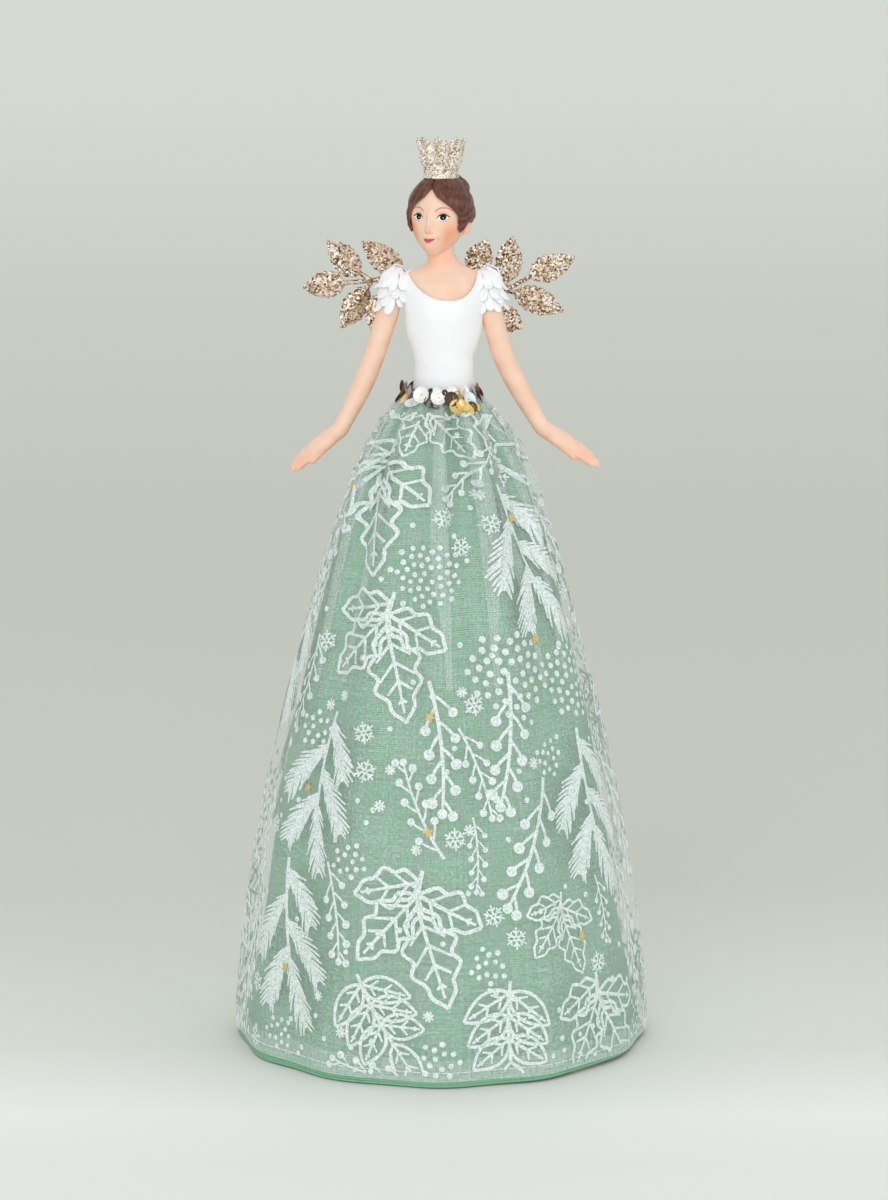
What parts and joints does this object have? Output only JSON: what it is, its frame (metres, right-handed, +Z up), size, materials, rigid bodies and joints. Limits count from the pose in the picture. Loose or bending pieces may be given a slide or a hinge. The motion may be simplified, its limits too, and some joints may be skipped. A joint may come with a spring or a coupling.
{
  "type": "angel tree topper",
  "caption": "Standing angel doll tree topper with a hollow fabric-covered bell skirt, painted resin figure, crown and bendable glittered leaf-spray wings.",
  "frame": {"origin": "centre of the round foot rim of the skirt former, on the surface that the topper stands on", "axes": "+Z up along the figure, -Y is the way the doll's body faces, +X is the doll's own left"},
  "size_m": [0.1298, 0.1298, 0.28],
  "materials": {
    "card": "matt pressed paper pulp",
    "green_cotton": "plain weave cotton muslin",
    "organza": "sheer organza with glitter print",
    "sequins": "cup sequins in gold, pearl and bronze",
    "skin": "painted resin",
    "white_jersey": "matt white",
    "hair_paint": "satin painted resin",
    "crown_glitter": "pale gold glitter",
    "white_felt": "felt",
    "gold_foil": "stamped foil",
    "white_petals": "soft cut petals",
    "wing_glitter": "coarse champagne glitter"
  },
  "bodies": {
    "figure": {"skirt_former": "card", "underskirt": "green_cotton", "overskirt": "organza", "sequin_trim": "sequins", "figure_casting": "skin", "bodice": "white_jersey", "hair": "hair_paint", "hair_bun": "hair_paint", "crown": "crown_glitter", "wing_pad": "white_felt", "star_1": "gold_foil", "star_2": "gold_foil", "star_3": "gold_foil", "star_4": "gold_foil", "star_5": "gold_foil", "star_6": "gold_foil", "star_7": "gold_foil", "star_8": "gold_foil", "star_9": "gold_foil", "star_10": "gold_foil", "star_11": "gold_foil", "star_12": "gold_foil", "star_13": "gold_foil", "star_14": "gold_foil", "arm_right": "skin", "petal_sleeve_right": "white_petals", "arm_left": "skin", "petal_sleeve_left": "white_petals"},
    "wing_right": {"wing_stem_right": "wing_glitter", "wing_leaf_right_1": "wing_glitter", "wing_leaf_right_2": "wing_glitter", "wing_leaf_right_3": "wing_glitter", "wing_leaf_right_4": "wing_glitter", "wing_leaf_right_5": "wing_glitter"},
    "wing_left": {"wing_stem_left": "wing_glitter", "wing_leaf_left_1": "wing_glitter", "wing_leaf_left_2": "wing_glitter", "wing_leaf_left_3": "wing_glitter", "wing_leaf_left_4": "wing_glitter", "wing_leaf_left_5": "wing_glitter"}
  },
  "joints": [
    {"name": "wing_right_bend", "type": "hinge", "parent": "figure", "child": "wing_right", "pos_m": [-0.00575, 0.01077, 0.2362], "axis": [0, 0, -1], "range_deg": [-5, 45]},
    {"name": "wing_left_bend", "type": "hinge", "parent": "figure", "child": "wing_left", "pos_m": [0.00755, 0.01077, 0.2362], "axis": [0, 0, 1], "range_deg": [-5, 45]}
  ]
}
